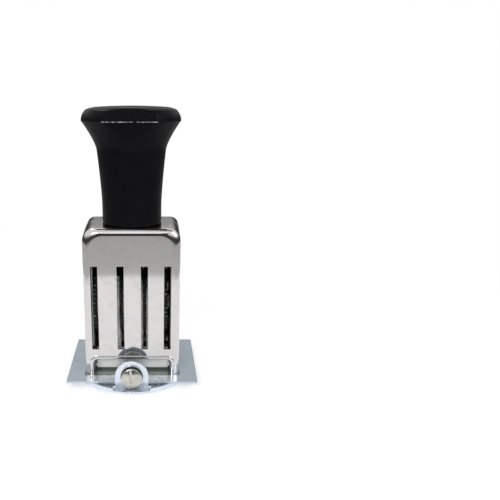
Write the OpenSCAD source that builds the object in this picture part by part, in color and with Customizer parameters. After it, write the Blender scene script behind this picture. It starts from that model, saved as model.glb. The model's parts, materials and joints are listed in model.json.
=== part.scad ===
// Hand date stamp: a metal housing over an inner frame, four thumbwheels with type bands,
// a removable round text plate and a moulded handle.
// The origin is the centre of the round plate on the printing plane, +Z is up and the front is -Y.

/* [Housing] */
// Width of the housing, left to right
body_w = 40; // [40:0.5:42]
// Depth of the housing, front to back
body_d = 28.7; // [28.1:0.2:29.5]
// Height of the housing's top above the printing plane
body_top = 68; // [67:0.5:70]
// Thickness of the housing's sheet
wall = 0.8; // [0.6:0.1:0.8]
// Radius of the housing's upright edges
edge_r = 3; // [2:0.5:3]
// Radius of the shoulders, seen from the front
shoulder_r = 5; // [4.5:0.5:6.5]
// Radius of the front edge of the top
front_top_r = 2.9; // [2:0.1:3]
// Radius of the rear edge of the top
back_top_r = 5.3; // [4.5:0.1:5.5]

/* [Front slots] */
// Width of each thumbwheel slot
slot_w = 2.9; // [2.8:0.1:3.2]
// Lower end of the slots
slot_bottom = 15.9; // [15.7:0.1:18]
// Upper end of the slots
slot_top = 52.5; // [50:0.5:54]

/* [Plates] */
// Width of the rectangular base plate
base_w = 55; // [50:0.5:60]
// Depth of the rectangular base plate
base_d = 41; // [40.6:0.2:41.4]
// Thickness of the base plate
base_t = 0.9; // [0.8:0.1:1.2]
// Diameter of the round text plate
plate_d = 54.3; // [54.1:0.1:56]
// Thickness of the round plate's sheet
plate_t = 0.8; // [0.6:0.1:0.8]
// Height of the round plate's rim, from its underside
rim_h = 1.8; // [1.7:0.1:2.4]
// Spacing of the round plate's perforations
perforation_pitch = 2.44; // [2:0.01:4]
// Diameter of the perforations
perforation_d = 0.6; // [0.5:0.05:0.9]
// Width of the window for the type
window_w = 32.4; // [32.2:0.1:32.6]
// Depth of the window for the type
window_d = 12.5; // [12:0.1:12.9]

/* [Type bands] */
// How far the type stands below the round plate
type_proud = 1.2; // [0.8:0.1:1.4]
// Height of the raised type on a band
type_h = 0.9; // [0.7:0.1:0.9]
// Thickness of a band
band_t = 1.1; // [0.9:0.1:1.1]
// Height of a character along the band
type_size = 4.4; // [3.6:0.1:4.4]
// Positions on each band: twelve and a blank
positions = 13; // [10:1:13]

/* [Thumbwheels] */
// Diameter of a thumbwheel over its teeth
wheel_d = 26.4; // [25:0.2:26.8]
// Thickness of a thumbwheel's toothed disc
wheel_t = 1.2; // [1:0.1:1.2]
// Number of teeth on a thumbwheel
teeth = 44; // [30:1:60]
// Diameter of the drum that drives a band
drum_d = 15.6; // [15:0.1:15.6]
// Diameter of the thumbwheels' axle
axle_d = 3; // [2.5:0.1:3.4]
// Height of the axle above the printing plane
axle_z = 34.2; // [34:0.1:35]
// How far the thumbwheels stand out of the slots
wheel_proud = 1.95; // [1.6:0.05:2.2]

/* [Handle] */
// Diameter of the handle's neck
neck_d = 24.7; // [22:0.1:26]
// Diameter of the handle's edge
handle_d = 40.2; // [37:0.2:44]
// Height of the handle above the housing
handle_h = 47.2; // [46.6:0.2:50]
// Distance of the handle's front flat from its axis, at the edge
handle_flat = 17.5; // [16.5:0.1:18]

/* [Plate screw] */
// Diameter of the screw's thread
screw_d = 4; // [3.5:0.1:4]
// Diameter of the screw's head
head_d = 8.7; // [8:0.1:8.7]
// Height of the screw above the printing plane
screw_z = 6.8; // [6.7:0.1:7.2]

/* [Hidden] */
$fn = 64;

nickel = [0.84, 0.81, 0.81];
zinc = [0.62, 0.67, 0.71];
steel = [0.66, 0.66, 0.67];
brass = [0.80, 0.66, 0.36];
black = [0.06, 0.06, 0.07];
rubber = [0.93, 0.92, 0.90];
cream = [0.85, 0.83, 0.74];

// Cuts run this far past a face
past = 1;
// Running clearance of a shaft in its bore, on the radius
running = 0.05;
// Seating clearance of fixed pieces, on each side
seat = 0.05;

// Heights of the stacked plates
plate_z = type_proud;
rim_top = plate_z + rim_h;
base_top = rim_top + base_t;

// Places of the housing, the base plate and the window, front to back
body_y = -1.8;
body_front = body_y - body_d / 2;
body_back = body_y + body_d / 2;
base_y = -1.35;
base_front = base_y - base_d / 2;
base_back = base_y + base_d / 2;
window_y = -0.9;
perforation_y = 0.56;

// The side seam between the shells, and the tongue that crosses it
seam_y = -1.4;
seam_gap = 0.1;
tongue_y = -4.8;
tongue_z = [32.3, 36.8];
tongue_gap = [0.2, 1.2];

// Slots, and the opening at the foot of the front
slot_places = [-15.3, -4.6, 5.3, 14.8];
opening_w = 32.8;
opening_top = 11.3;
opening_r = 2;
lip_w = 1.6;
lip_proud = 0.4;

// Tabs of the housing and the frame, which pass through the base plate
tab_l = 4;
shell_tab_places = [-10, 4];
frame_tab_places = [-10.5, 1.5];
tab_end = rim_top + 0.1;

// Inner frame
frame_t = 0.8;
frame_in = 16.05;
frame_out = frame_in + frame_t;
frame_front_y = body_front + wall + 1.1;
frame_back_y = 7;
frame_top = body_top - 3.5;
neck_y = [body_y - 6.7, body_y + 6.7];
neck_z = 58;
yoke_t = 0.8;
yoke_in = frame_in - seat - yoke_t;
yoke_top = body_top - 1.8;
yoke_bottom = 55;
yoke_y = [body_y - 6.4, body_y + 6.4];
front_plate_y = body_front + 4.75;
front_plate_z = [base_top + 1.1, 14.5];
front_plate_half = 15.3;
front_plate_tab = [9.5, 13.5];
rivet_d = 2.4;
rivet_head_d = 4.4;
rivet_head_t = 0.7;
rivet_z = 59.5;
rivet_places = [body_y - 4, body_y + 4];

// Axle, drum and thumbwheels
axle_y = body_front - wheel_proud + wheel_d / 2;
drum_r = drum_d / 2;
tooth_h = 0.9;
wheel_gap = 0.2;
clip_d = 6.4;
clip_t = 0.6;
clip_gap = 0.15;
axle_end = frame_out + clip_gap + clip_t + 0.6;
collar_d = 8;

// Bridge under which the bands run
band_slack = 0.1;
bridge_r = 0.7;
bridge_y = 3;
bridge_z = type_h + band_t + band_slack;
bridge_top = base_top + 3;
bridge_end = 15.9;
bridge_stud_d = 2.4;
bridge_stud_z = base_top + 1.7;

// Left faces of the thumbwheel discs, where the two bands of the day meet, and the end of the last band
year_x = -15.75;
month_x = -5;
units_x = 4.7;
tens_x = 13.5;
bands_meet_x = 8.85;
tens_band_end = 12.3;
spacer_x = [tens_band_end + wheel_gap, bridge_end - seat];
spacer_y = 4.1;
spacer_z = [1.1, 9];

// Ear of the round plate and the tab of the base plate behind it
ear_t = plate_t;
ear_r = 6.95;
ear_back = base_front - 0.45;
ear_front = ear_back - ear_t;
rim_cut_w = 15.4;
ear_relief = [1, 1.6];
hook_w = 4;
hook_places = [-8, 8];
hook_reach = 1.7;
hook_gap = 0.3;
tab_w = 10;
base_tab_top = 12.4;
nut_across = 7;
nut_t = 3.2;
nut_notch_w = 9;

// Plate screw
washer_d = 9.2;
washer_t = 0.6;
washer_gap = 0.05;
head_h = 2.4;
head_crown = 0.9;
head_slot = [1, 1.2];
head_slot_turn = 8;
screw_l = 6.8;
head_y = ear_front - washer_gap - washer_t;

// Handle and its bolt
bolt_d = 6;
bolt_head_across = 10;
bolt_head_h = 4;
bolt_washer_d = 12.5;
bolt_washer_t = 1.2;
bolt_reach = 24;
insert_d = 10;
insert_l = 20;
clamp_disc_d = 17.6;
straight_h = 7.5;
taper_h = 30;
edge_h = 41.5;
taper_r = 14.1;
crown_h = 10;
crown_cut = 5;
flat_lean = 15;
flat_h = 10;

// Extrudes an outline drawn in Y and Z from one x to another
module along_x(from, to) {
    translate([from, 0, 0]) rotate([90, 0, 90]) linear_extrude(to - from) children();
}

// Extrudes an outline drawn in X and Z from one y to another
module along_y(from, to) {
    translate([0, to, 0]) rotate([90, 0, 0]) linear_extrude(to - from) children();
}

// Extrudes an outline drawn in X and Y from one z to another
module along_z(from, to) {
    translate([0, 0, from]) linear_extrude(to - from) children();
}

// A box between two opposite corners
module block(low, high) {
    translate(low) cube(high - low);
}

// Points of an arc about a centre, from one angle to another
function arc(centre, r, from, to, steps) =
    [for (i = [0:steps]) let (a = from + (to - from) * i / steps) centre + r * [cos(a), sin(a)]];

// Outline of the housing in plan, drawn in by an inset
module plan_outline(inset) {
    w = body_w - 2 * inset;
    d = body_d - 2 * inset;
    r = edge_r - inset;
    square([w - 2 * r, d], center = true);
    square([w, d - 2 * r], center = true);
    for (x = [-1, 1], y = [-1, 1]) translate([x * (w / 2 - r), y * (d / 2 - r)]) circle(r);
}

// Outline with two rounded upper corners, between x = -left and x = right
module arched_outline(left, right, bottom, top, left_r, right_r) {
    low = min(top - left_r, top - right_r);
    translate([-left, bottom]) square([left + right, low - bottom]);
    translate([left_r - left, bottom]) square([left + right - left_r - right_r, top - bottom]);
    translate([-left, bottom]) square([left_r, top - left_r - bottom]);
    translate([right - right_r, bottom]) square([right_r, top - right_r - bottom]);
    translate([left_r - left, top - left_r]) circle(left_r);
    translate([right - right_r, top - right_r]) circle(right_r);
}

// Solid form of the housing, drawn in by an inset and standing on a given height
module housing_form(inset, bottom) {
    half_w = body_w / 2 - inset;
    half_d = body_d / 2 - inset;
    top = body_top - inset;
    translate([0, body_y, 0]) intersection() {
        along_z(bottom, body_top + past) plan_outline(inset);
        along_y(-body_d, body_d)
            arched_outline(half_w, half_w, bottom - past, top, shoulder_r - inset, shoulder_r - inset);
        along_x(-body_w, body_w)
            arched_outline(half_d, half_d, bottom - past, top, front_top_r - inset, back_top_r - inset);
    }
}

module housing_sheet() {
    difference() {
        housing_form(0, base_top);
        housing_form(wall, base_top - past);
    }
}

// Tabs in the housing's side walls, through the base plate
module shell_tab(y, clearance, bottom, top) {
    for (side = [-1, 1])
        translate([side * (body_w / 2 - wall / 2), y, (bottom + top) / 2])
            cube([wall + 2 * clearance, tab_l + 2 * clearance, top - bottom], center = true);
}

module bolt_hole(d) {
    translate([0, body_y, body_top - 5]) cylinder(d = d, h = 10);
}

module front_opening_outline(grow) {
    half = opening_w / 2 + grow;
    top = opening_top + grow;
    r = opening_r + grow;
    polygon(concat(
        [[-half, base_top - past], [half, base_top - past]],
        arc([half - r, top - r], r, 0, 90, 8),
        arc([r - half, top - r], r, 90, 180, 8)
    ));
}

module front_shell() color(nickel) difference() {
    union() {
        housing_sheet();
        intersection() {
            along_y(body_front - lip_proud, body_front + wall) front_opening_outline(lip_w);
            along_z(base_top, body_top) square(2 * body_w, center = true);
        }
        shell_tab(shell_tab_places[0], 0, tab_end, base_top + past);
    }
    block([-body_w, seam_y, 0], [body_w, body_back + past, body_top + past]);
    block(
        [-body_w, tongue_y - tongue_gap[0], tongue_z[0] - tongue_gap[0]],
        [body_w, seam_y + past, tongue_z[1] + tongue_gap[1]]
    );
    for (x = slot_places) block(
        [x - slot_w / 2, body_front - past, slot_bottom],
        [x + slot_w / 2, body_front + wall + past, slot_top]
    );
    along_y(body_front - past, body_front + wall + past) front_opening_outline(0);
    bolt_hole(bolt_d + 0.6);
}

module back_shell() color(nickel) difference() {
    union() {
        intersection() {
            housing_sheet();
            union() {
                block([-body_w, seam_y + seam_gap, 0], [body_w, body_back + past, body_top + past]);
                block([-body_w, tongue_y, tongue_z[0]], [body_w, seam_y + past, tongue_z[1]]);
            }
        }
        shell_tab(shell_tab_places[1], 0, tab_end, base_top + past);
    }
    bolt_hole(bolt_d + 0.6);
}

module base_plate() color(zinc) difference() {
    union() {
        translate([0, base_y, rim_top + base_t / 2]) cube([base_w, base_d, base_t], center = true);
        along_y(base_front, base_front + base_t) polygon(concat(
            [[-tab_w / 2, rim_top], [tab_w / 2, rim_top]],
            arc([0, base_tab_top - tab_w / 2], tab_w / 2, 0, 180, 20)
        ));
    }
    block(
        [-frame_in + seat, window_y - window_d / 2 - 0.3, rim_top - past],
        [frame_in - seat, window_y + window_d / 2 + 0.3, base_top + past]
    );
    block(
        [-nut_notch_w / 2, base_front + base_t, rim_top - past],
        [nut_notch_w / 2, base_front + base_t + nut_t + 0.4, base_top + past]
    );
    for (y = shell_tab_places) shell_tab(y, seat, rim_top - past, base_top + past);
    for (y = frame_tab_places, side = [-1, 1])
        frame_tab(side, y, seat, rim_top - past, base_top + past);
    screw_bore(screw_d / 2 + 0.1, base_front - past, base_front + base_t + past);
}

module frame_tab(side, y, clearance, bottom, top) {
    translate([side * (frame_in + frame_t / 2), y, (bottom + top) / 2])
        cube([frame_t + 2 * clearance, tab_l + 2 * clearance, top - bottom], center = true);
}

module screw_bore(r, from, to) {
    translate([0, to, screw_z]) rotate([90, 0, 0]) cylinder(r = r, h = to - from);
}

// Perforations stand on a square grid and keep clear of the window, the rim, the ear and the hooks
module perforations() {
    count = ceil(plate_d / 2 / perforation_pitch);
    limit = plate_d / 2 - plate_t - perforation_d;
    near = perforation_d / 2 + 0.1;
    ear_y = ear_back - ear_t / 2;
    for (i = [-count:count], j = [-count:count]) {
        x = (i + 0.5) * perforation_pitch;
        y = perforation_y + j * perforation_pitch;
        in_window = abs(x) < window_w / 2 + 2 * near && abs(y - window_y) < window_d / 2 + 2 * near;
        at_ear = abs(x) < rim_cut_w / 2 + near && abs(y - ear_y) < ear_relief[1] / 2 + near;
        at_hook = abs(y - base_back - hook_gap - plate_t / 2) < plate_t / 2 + near
            && abs(abs(x) - hook_places[1]) < hook_w / 2 + near;
        if (norm([x, y]) < limit && !in_window && !at_ear && !at_hook)
            translate([x, y]) circle(d = perforation_d, $fn = 16);
    }
}

// The round plate has an upright rim, which is open at the ear
module text_plate() color(zinc) {
    hook_y = base_back + hook_gap;
    hook_z = base_top + seat;
    difference() {
        union() {
            along_z(plate_z, plate_z + plate_t) difference() {
                circle(d = plate_d, $fn = 160);
                translate([0, window_y]) square([window_w, window_d], center = true);
                perforations();
                for (side = [-1, 1])
                    translate([side * (ear_r + ear_relief[0] / 2), ear_back - ear_t / 2])
                        square(ear_relief, center = true);
            }
            difference() {
                along_z(plate_z + plate_t / 2, rim_top) difference() {
                    circle(d = plate_d, $fn = 160);
                    circle(d = plate_d - 2 * plate_t, $fn = 160);
                }
                block(
                    [-rim_cut_w / 2, -plate_d, plate_z + plate_t],
                    [rim_cut_w / 2, -plate_d / 4, rim_top + past]
                );
            }
            along_y(ear_front, ear_back) polygon(concat(
                [[-ear_r, plate_z + plate_t / 2], [ear_r, plate_z + plate_t / 2]],
                arc([0, screw_z], ear_r, 0, 180, 36)
            ));
        }
        screw_bore(screw_d / 2 + 0.1, ear_front - past, ear_back + past);
    }
    for (x = hook_places) {
        corner = [x + hook_w / 2, hook_y + plate_t, hook_z + plate_t];
        block([x - hook_w / 2, hook_y, plate_z + plate_t / 2], corner);
        block([x - hook_w / 2, base_back - hook_reach, hook_z], corner);
    }
}

// Half outline of the handle: straight neck, taper, flare to the edge, and a crown cut nearly flat
function handle_outline() = let (
    neck_r = neck_d / 2,
    rim_r = handle_d / 2,
    cut_r = rim_r * sqrt(1 - pow(crown_cut / crown_h, 2)),
    top = handle_h - edge_h - crown_cut
) concat(
    [[0, 0], [neck_r - 0.5, 0], [neck_r, 0.5]],
    [for (t = [0:0.125:1]) [
        neck_r + (taper_r - neck_r) * pow(t, 1.4),
        straight_h + (taper_h - straight_h) * t
    ]],
    [for (t = [0.125:0.125:1]) [
        taper_r + (rim_r - taper_r) * pow(t, 1.35),
        taper_h + (edge_h - taper_h) * t
    ]],
    [for (t = [0.1:0.1:1]) [
        rim_r * sqrt(1 - pow(t * crown_cut / crown_h, 2)),
        edge_h + t * crown_cut
    ]],
    [for (t = [0.8:-0.2:0]) [cut_r * t, edge_h + crown_cut + top * (1 - t * t)]]
);

// The front flat leans in both ways from the chord that it makes across the handle's edge
module handle() color(black) translate([0, body_y, body_top]) difference() {
    rotate_extrude($fn = 96) polygon(handle_outline());
    for (lean = [-flat_lean, flat_lean]) translate([0, -handle_flat, edge_h]) rotate([lean, 0, 0])
        block([-handle_d, -handle_d, -flat_h], [handle_d, 0, handle_h]);
    translate([0, 0, -past]) cylinder(d = insert_d, h = insert_l + past);
    cylinder(d = bolt_d + 2 * seat, h = bolt_reach + 2);
}

module handle_insert() color(brass) translate([0, body_y, body_top + seat]) difference() {
    cylinder(d = insert_d - 2 * seat, h = insert_l - 2 * seat);
    translate([0, 0, -past]) cylinder(d = bolt_d + 2 * seat, h = insert_l + 2 * past);
}

module handle_bolt() color(steel) {
    under_head = yoke_top - yoke_t - bolt_washer_t;
    translate([0, body_y, under_head - bolt_head_h])
        cylinder(d = bolt_head_across / cos(30), h = bolt_head_h, $fn = 6);
    translate([0, body_y, under_head - bolt_head_h / 2])
        cylinder(d = bolt_d, h = body_top + bolt_reach - under_head + bolt_head_h / 2);
}

// A flat ring about the handle's axis
module ring(outer_d, bore_d, bottom, top) {
    translate([0, body_y, bottom]) difference() {
        cylinder(d = outer_d, h = top - bottom);
        translate([0, 0, -past]) cylinder(d = bore_d, h = top - bottom + 2 * past);
    }
}

module bolt_washer() color(steel)
    ring(bolt_washer_d, bolt_d + 0.4, yoke_top - yoke_t - bolt_washer_t, yoke_top - yoke_t);

module clamp_disc() color(steel) ring(clamp_disc_d, bolt_d + 0.4, yoke_top, body_top - wall);

module rivet_holes(clearance) {
    for (y = rivet_places)
        translate([-body_w, y, rivet_z]) rotate([0, 90, 0])
            cylinder(d = rivet_d + 2 * clearance, h = 2 * body_w);
}

module frame_yoke() color(steel) difference() {
    block(
        [-yoke_in - yoke_t, yoke_y[0], yoke_bottom],
        [yoke_in + yoke_t, yoke_y[1], yoke_top]
    );
    block(
        [-yoke_in, yoke_y[0] - past, yoke_bottom - past],
        [yoke_in, yoke_y[1] + past, yoke_top - yoke_t]
    );
    bolt_hole(bolt_d + 0.4);
    rivet_holes(seat);
}

// One side plate of the frame: side is -1 on the left and 1 on the right
module frame_side(side) color(steel) difference() {
    union() {
        mirror([side < 0 ? 1 : 0, 0, 0]) along_x(frame_in, frame_out) polygon([
            [frame_front_y, base_top], [frame_front_y, slot_top], [neck_y[0], neck_z],
            [neck_y[0], frame_top], [neck_y[1], frame_top], [neck_y[1], neck_z],
            [frame_back_y, slot_top], [frame_back_y, base_top]
        ]);
        for (y = frame_tab_places) frame_tab(side, y, 0, tab_end, base_top + past);
    }
    axle_form(axle_d / 2 + seat / 2, -body_w, body_w);
    bridge_studs(bridge_stud_d + seat);
    rivet_holes(seat);
    block(
        [-body_w, front_plate_y - seat, front_plate_tab[0] - seat],
        [body_w, front_plate_y + frame_t + seat, front_plate_tab[1] + seat]
    );
}

module frame_side_left() frame_side(-1);
module frame_side_right() frame_side(1);

module frame_front() color(nickel) {
    y = front_plate_y;
    block([-front_plate_half, y, front_plate_z[0]], [front_plate_half, y + frame_t, front_plate_z[1]]);
    block([-frame_out, y, front_plate_tab[0]], [frame_out, y + frame_t, front_plate_tab[1]]);
}

module frame_rivets() color(steel)
    for (y = rivet_places, side = [-1, 1]) translate([0, y, rivet_z]) rotate([0, side * 90, 0]) {
        translate([0, 0, yoke_in - rivet_head_t]) cylinder(d = rivet_head_d, h = rivet_head_t);
        translate([0, 0, yoke_in - rivet_head_t / 2])
            cylinder(d = rivet_d, h = frame_out - yoke_in + rivet_head_t);
        translate([0, 0, frame_out]) cylinder(d = rivet_head_d, h = rivet_head_t);
    }

// A round bar along the axle's line
module axle_form(r, from, to) {
    translate([from, axle_y, axle_z]) rotate([0, 90, 0]) cylinder(r = r, h = to - from);
}

module wheel_axle() color(steel) axle_form(axle_d / 2, -axle_end, axle_end);

module axle_clips() color(steel) for (side = [-1, 1]) difference() {
    near = frame_out + clip_gap;
    axle_form(clip_d / 2, min(side * near, side * (near + clip_t)), max(side * near, side * (near + clip_t)));
    axle_form(axle_d / 2 + seat / 2, -body_w, body_w);
}

module axle_collar() color(steel) difference() {
    axle_form(collar_d / 2, tens_x + wheel_t + wheel_gap, frame_in - seat);
    axle_form(axle_d / 2 + seat / 2, -body_w, body_w);
}

// A toothed disc in Y and Z about the axle
module toothed_outline() {
    step = 360 / teeth;
    root = wheel_d / 2 - tooth_h;
    tip = wheel_d / 2;
    polygon([for (i = [0:teeth - 1], p = [[0, root], [0.22, tip], [0.5, tip], [0.72, root]])
        [axle_y, axle_z] + p[1] * [cos((i + p[0]) * step), sin((i + p[0]) * step)]
    ]);
}

// A thumbwheel: its disc starts at disc_x, and its drum fills from one x to another
module thumbwheel(disc_x, drum_from, drum_to) color(black) difference() {
    union() {
        along_x(disc_x, disc_x + wheel_t) toothed_outline();
        axle_form(drum_r, drum_from, drum_to);
    }
    axle_form(axle_d / 2 + running, -body_w, body_w);
}

module wheel_year() thumbwheel(year_x, year_x + wheel_t / 2, month_x - wheel_gap);
module wheel_month() thumbwheel(month_x, month_x + wheel_t / 2, units_x - wheel_gap);
module wheel_day_units() thumbwheel(units_x, units_x + wheel_t / 2, bands_meet_x - wheel_gap / 2);
module wheel_day_tens() thumbwheel(tens_x, bands_meet_x + wheel_gap / 2, tens_x + wheel_t / 2);

module bridge_studs(d) {
    translate([-frame_out, 0, bridge_stud_z]) rotate([0, 90, 0])
        cylinder(d = d, h = 2 * frame_out);
}

module bridge_outline(grow) {
    r = bridge_r + grow;
    y = bridge_y - bridge_r;
    z = bridge_z + bridge_r;
    polygon(concat(
        arc([-y, z], r, 180, 270, 6),
        arc([y, z], r, 270, 360, 6),
        [[bridge_y + grow, bridge_top + grow], [-bridge_y - grow, bridge_top + grow]]
    ));
}

module type_bridge() color(steel) {
    along_x(-bridge_end, bridge_end) bridge_outline(0);
    bridge_studs(bridge_stud_d);
}

module spacer_block() color(cream) difference() {
    along_x(spacer_x[0], spacer_x[1]) polygon(concat(
        arc([2 - spacer_y, spacer_z[0] + 2], 2, 180, 270, 8),
        arc([spacer_y - 2, spacer_z[0] + 2], 2, 270, 360, 8),
        [[spacer_y, spacer_z[1]], [-spacer_y, spacer_z[1]]]
    ));
    along_x(-body_w, body_w) bridge_outline(seat);
}

// A band runs round the drum and under the two lower corners of the bridge.
// The angles are those at which its straight runs leave the drum, from +Y towards +Z.
drum_at = [axle_y, axle_z];
corner_y = bridge_y - bridge_r;
corner_z = bridge_z + bridge_r;
front_span = drum_at - [-corner_y, corner_z];
back_span = drum_at - [corner_y, corner_z];
front_leave = atan2(front_span[1], front_span[0]) + acos((bridge_r - drum_r) / norm(front_span));
back_leave = atan2(back_span[1], back_span[0]) - acos((bridge_r - drum_r) / norm(back_span));

// Closed outline of the band at a distance from drum and bridge
function band_outline(away) = concat(
    arc(drum_at, drum_r + away, back_leave, front_leave, 30),
    arc([-corner_y, corner_z], bridge_r + away, front_leave, 270, 5),
    arc([corner_y, corner_z], bridge_r + away, 270, 360 + back_leave, 5)
);

// Lengths of the band's stretches along the surface that carries the type
carry = band_slack + band_t;
flat_l = corner_y;
turn_l = (bridge_r + carry) * (90 + back_leave) * PI / 180;
front_turn_l = (bridge_r + carry) * (270 - front_leave) * PI / 180;
back_run = sqrt(pow(norm(back_span), 2) - pow(drum_r - bridge_r, 2));
front_run = sqrt(pow(norm(front_span), 2) - pow(drum_r - bridge_r, 2));
drum_l = (drum_r + carry) * (front_leave - back_leave) * PI / 180;
band_l = 2 * flat_l + turn_l + back_run + drum_l + front_run + front_turn_l;

// Where a type pad stands, at a way s along the band from the printing line towards the back:
// y, z and the direction in which it faces
function pad_place(s) =
    let (
        s1 = s - flat_l - turn_l,
        s2 = s1 - back_run,
        s3 = s2 - drum_l,
        out_b = [cos(back_leave), sin(back_leave)],
        out_f = [cos(front_leave), sin(front_leave)],
        back_start = [corner_y, corner_z] + (bridge_r + carry) * out_b,
        front_start = drum_at + (drum_r + carry) * out_f,
        angle = back_leave + s2 / (drum_r + carry) * 180 / PI
    )
    s < flat_l ? [s, corner_z - bridge_r - carry, 270]
    : s1 < back_run ? concat(back_start + s1 * [-out_b[1], out_b[0]], back_leave)
    : s2 < drum_l ? concat(drum_at + (drum_r + carry) * [cos(angle), sin(angle)], angle)
    : concat(front_start + s3 * [-out_f[1], out_f[0]], front_leave);

module band(from, to) color(rubber) {
    margin = 0.2;
    root = 0.4;
    along_x(from, to) difference() {
        polygon(band_outline(band_slack + band_t));
        polygon(band_outline(band_slack));
    }
    along_x(from + margin, to - margin) for (i = [0:positions - 1]) {
        p = pad_place(i * band_l / positions);
        translate([p[0], p[1]]) rotate(p[2]) translate([-root, -type_size / 2])
            square([root + type_h, type_size]);
    }
}

module band_year() band(year_x + wheel_t + wheel_gap, month_x - wheel_gap);
module band_month() band(month_x + wheel_t + wheel_gap, units_x - wheel_gap);
module band_day_units() band(units_x + wheel_t + wheel_gap, bands_meet_x - wheel_gap / 2);
module band_day_tens() band(bands_meet_x + wheel_gap / 2, tens_band_end);

// The screw is drawn along +Z from under its head, and turned to point out of the front
module at_screw() {
    translate([0, head_y, screw_z]) rotate([90, 0, 0]) children();
}

module plate_screw() color(steel) at_screw() {
    crown_r = (pow(head_d / 2, 2) + pow(head_crown, 2)) / (2 * head_crown);
    difference() {
        union() {
            cylinder(d = head_d, h = head_h - head_crown);
            intersection() {
                cylinder(d = head_d, h = head_h + past);
                translate([0, 0, head_h - crown_r]) sphere(crown_r, $fn = 96);
            }
        }
        rotate(head_slot_turn) translate([-head_slot[0] / 2, -head_d, head_h - head_slot[1]])
            cube([head_slot[0], 2 * head_d, head_slot[1] + past]);
    }
    translate([0, 0, -screw_l]) cylinder(d = screw_d, h = screw_l + head_h / 4);
}

module screw_washer() color(black) at_screw() translate([0, 0, -washer_t]) difference() {
    cylinder(d = washer_d, h = washer_t);
    translate([0, 0, -past]) cylinder(d = screw_d + 2 * running, h = washer_t + 2 * past);
}

module screw_nut() color(steel) {
    near = base_front + base_t;
    difference() {
        translate([0, near + nut_t, screw_z]) rotate([90, 30, 0])
            cylinder(d = nut_across / cos(30), h = nut_t, $fn = 6);
        screw_bore(screw_d / 2 + running, near - past, near + nut_t + past);
    }
}

front_shell();
back_shell();
base_plate();
text_plate();
handle();
handle_insert();
handle_bolt();
bolt_washer();
clamp_disc();
frame_yoke();
frame_side_left();
frame_side_right();
frame_front();
frame_rivets();
type_bridge();
spacer_block();
wheel_axle();
axle_clips();
axle_collar();
wheel_year();
wheel_month();
wheel_day_units();
wheel_day_tens();
band_year();
band_month();
band_day_units();
band_day_tens();
plate_screw();
screw_washer();
screw_nut();
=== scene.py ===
"""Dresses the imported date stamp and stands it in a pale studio.

Lengths are in metres, in the frame of the solids: +Z is up, the front is -Y, and the origin is the
centre of the round plate on the printing plane.
"""

import json
import math

import bmesh
import bpy
from mathutils import Matrix, Vector


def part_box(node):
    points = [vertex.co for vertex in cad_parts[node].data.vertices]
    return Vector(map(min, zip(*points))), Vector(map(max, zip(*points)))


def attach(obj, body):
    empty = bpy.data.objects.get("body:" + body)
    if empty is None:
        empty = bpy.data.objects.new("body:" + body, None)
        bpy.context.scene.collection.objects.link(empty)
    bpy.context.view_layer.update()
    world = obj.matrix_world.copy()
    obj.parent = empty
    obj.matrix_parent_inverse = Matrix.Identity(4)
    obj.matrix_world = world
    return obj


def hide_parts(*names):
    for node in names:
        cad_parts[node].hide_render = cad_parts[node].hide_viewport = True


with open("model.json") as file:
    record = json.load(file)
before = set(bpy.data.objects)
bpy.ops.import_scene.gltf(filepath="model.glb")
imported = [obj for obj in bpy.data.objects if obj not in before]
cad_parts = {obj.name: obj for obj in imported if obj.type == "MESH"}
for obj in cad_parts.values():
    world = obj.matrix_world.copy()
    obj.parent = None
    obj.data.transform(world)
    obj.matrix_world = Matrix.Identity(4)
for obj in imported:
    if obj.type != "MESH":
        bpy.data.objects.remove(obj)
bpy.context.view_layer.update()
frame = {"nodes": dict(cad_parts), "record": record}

MM = 0.001
nodes = frame["nodes"]

# Driving sizes of the dressed pieces

wall = 0.8 * MM
edge_r = 3 * MM
shoulder_front_r = 6.5 * MM
shoulder_back_r = 3.3 * MM
shoulder_fade = 9.5 * MM
shoulder_draw = 0.5 * MM
front_top_r = 2.9 * MM
back_top_r = 5.3 * MM
cut_edge_r = 0.14 * MM
shoulder_steps = 12
depth_steps = 6
corner_steps = 8

slot_w = 2.9 * MM
slot_bottom = 15.9 * MM
slot_top = 52.5 * MM
slot_places = [-15.3 * MM, -4.6 * MM, 5.3 * MM, 14.8 * MM]

opening_half = 16.4 * MM
opening_top = 11.3 * MM
opening_r = 2 * MM
lip_w = 1.6 * MM
lip_proud = 0.4 * MM

seam_gap = 0.1 * MM
tongue_low = 32.3 * MM
tongue_high = 36.8 * MM
tongue_gap_front = 0.2 * MM
tongue_gap_top = 1.2 * MM
tab_l = 4 * MM
tab_places = [-10 * MM, 4 * MM]
bolt_hole_r = 3.3 * MM
bolt_hole_l = 5 * MM
bolt_hole_points = 24
base_t = 0.9 * MM
strip_w = 5.4 * MM
strip_gap = 1 * MM

# Places read from the solids

shell_low, shell_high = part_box("front_shell")
back_low, back_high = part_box("back_shell")
half_w = shell_high.x
shell_top = shell_high.z
shell_front = shell_low.y + lip_proud
shell_back = back_high.y
shell_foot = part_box("base_plate")[0].z + base_t
tab_foot = shell_low.z
seam_y = shell_high.y
tongue_y = back_low.y
body_y = (shell_front + shell_back) / 2
past = 2 * MM


def linear(*levels):
    """A colour as it looks on a screen, turned into the light levels that shaders use."""
    return [((c + 0.055) / 1.055) ** 2.4 if c > 0.04 else c / 12.92 for c in levels]


# Mesh helpers

same_point = 0.001 * MM
same_plane = math.radians(0.5)
large_face_weight = 80


def add_piece(name, mesh):
    piece = bpy.data.objects.new(name, mesh)
    bpy.context.scene.collection.objects.link(piece)
    return piece


def mesh_piece(name, points, faces):
    mesh = bpy.data.meshes.new(name)
    mesh.from_pydata(points, [], faces)
    return add_piece(name, mesh)


def face_outwards(piece):
    """Turns the faces of a closed mesh outwards."""
    work = bmesh.new()
    work.from_mesh(piece.data)
    bmesh.ops.recalc_face_normals(work, faces=work.faces)
    work.to_mesh(piece.data)
    work.free()


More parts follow.
